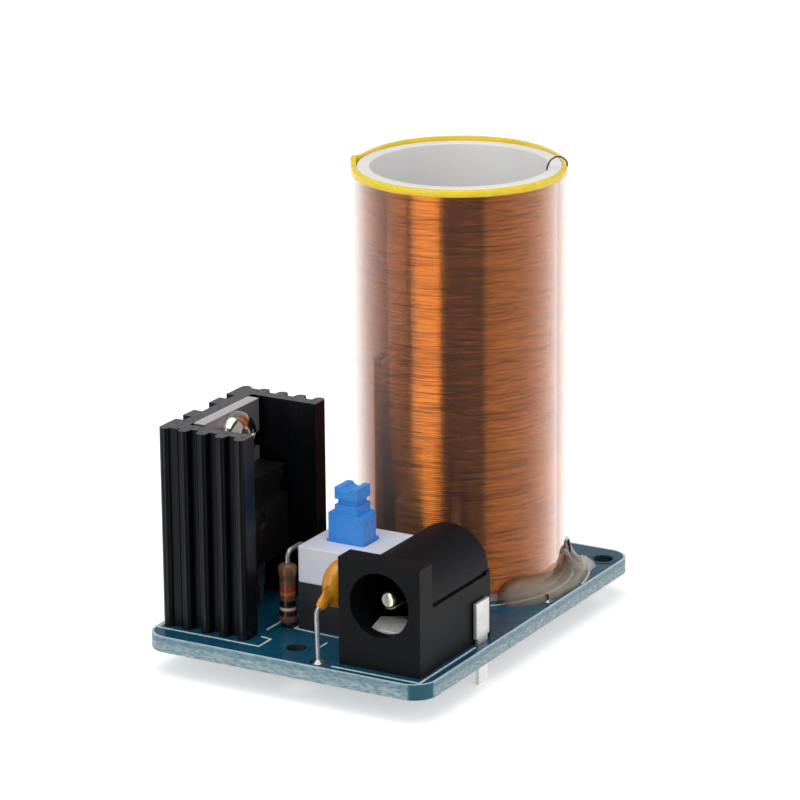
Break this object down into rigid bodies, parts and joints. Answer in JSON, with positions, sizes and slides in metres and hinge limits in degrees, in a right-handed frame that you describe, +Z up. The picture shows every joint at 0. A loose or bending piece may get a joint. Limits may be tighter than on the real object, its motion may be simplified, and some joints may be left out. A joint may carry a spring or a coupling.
{
  "type": "desktop resonant transformer",
  "caption": "Small circuit board with a tall wound secondary coil, a transistor on a ribbed heatsink, a barrel jack and a latching push switch.",
  "frame": {"origin": "bottom centre of the bounding box, at the tips of the soldered leads", "axes": "+X along the front edge towards the jack, +Y from the jack's socket towards the coil, +Z up along the coil"},
  "size_m": [0.032, 0.0444, 0.0484],
  "materials": {
    "solder_mask": "glossy blue-green solder mask over glass fibre",
    "tinned_metal": "bright tin plating",
    "bare_copper": "copper foil",
    "solder": "bright solder",
    "former_plastic": "smooth white plastic tube",
    "enamelled_wire": "orange enamelled copper wire",
    "clear_film": "clear glossy film",
    "yellow_tape": "glossy polyester tape",
    "wire_end": "dark enamelled wire",
    "glue": "cloudy clear glue",
    "black_anodised": "satin black anodising",
    "black_epoxy": "matt moulded epoxy",
    "screw_steel": "bright plated steel",
    "black_plastic": "matt moulded plastic",
    "white_plastic": "smooth moulded plastic",
    "blue_plastic": "smooth moulded plastic",
    "spring_steel": "drawn steel wire",
    "contact_brass": "bright contact metal",
    "resistor_coat": "tan lacquer with colour bands",
    "capacitor_coat": "glossy dipped coating"
  },
  "bodies": {
    "board": {"circuit_board": "solder_mask", "front_copper": "tinned_metal", "primary_track": "bare_copper", "solder_joints": "solder", "coil_former": "former_plastic", "secondary_winding": "enamelled_wire", "insulation_film": "clear_film", "top_tape": "yellow_tape", "top_wire_end": "wire_end", "bottom_wire_lead": "wire_end", "glue_bead": "glue", "heatsink": "black_anodised", "heatsink_pins": "tinned_metal", "transistor_tab": "tinned_metal", "transistor_body": "black_epoxy", "transistor_leads": "tinned_metal", "transistor_screw": "screw_steel", "jack_housing": "black_plastic", "jack_centre_pin": "tinned_metal", "jack_pin_terminal": "tinned_metal", "jack_spring_terminal": "tinned_metal", "jack_side_contact": "tinned_metal", "switch_base": "black_plastic", "switch_cover": "white_plastic", "switch_spring": "spring_steel", "switch_terminals": "tinned_metal", "resistor_body": "resistor_coat", "resistor_end_caps": "resistor_coat", "resistor_leads": "tinned_metal", "capacitor_body": "capacitor_coat", "capacitor_leads": "tinned_metal"},
    "button": {"switch_button": "blue_plastic", "switch_moving_contacts": "contact_brass"},
    "latch": {"switch_latch_pin": "spring_steel"},
    "spring_contact": {"jack_spring_contact": "tinned_metal"}
  },
  "joints": [
    {"name": "switch_press", "type": "slide", "parent": "board", "child": "button", "axis": [0, 0, -1], "range_m": [0, 0.0018], "stiffness_N_per_m": 900, "springref_m": -0.0006, "deforming": ["switch_spring"]},
    {"name": "latch_swing", "type": "hinge", "parent": "board", "child": "latch", "pos_m": [0.00105, -0.01229, 0.0052], "axis": [0, 1, 0], "range_deg": [-3, 3], "stiffness_Nm_per_rad": 0.0005},
    {"name": "contact_flex", "type": "hinge", "parent": "board", "child": "spring_contact", "pos_m": [0.01, -0.01174, 0.0068], "axis": [1, 0, 0], "range_deg": [0, 5], "stiffness_Nm_per_rad": 0.27, "springref_deg": -1.72}
  ]
}
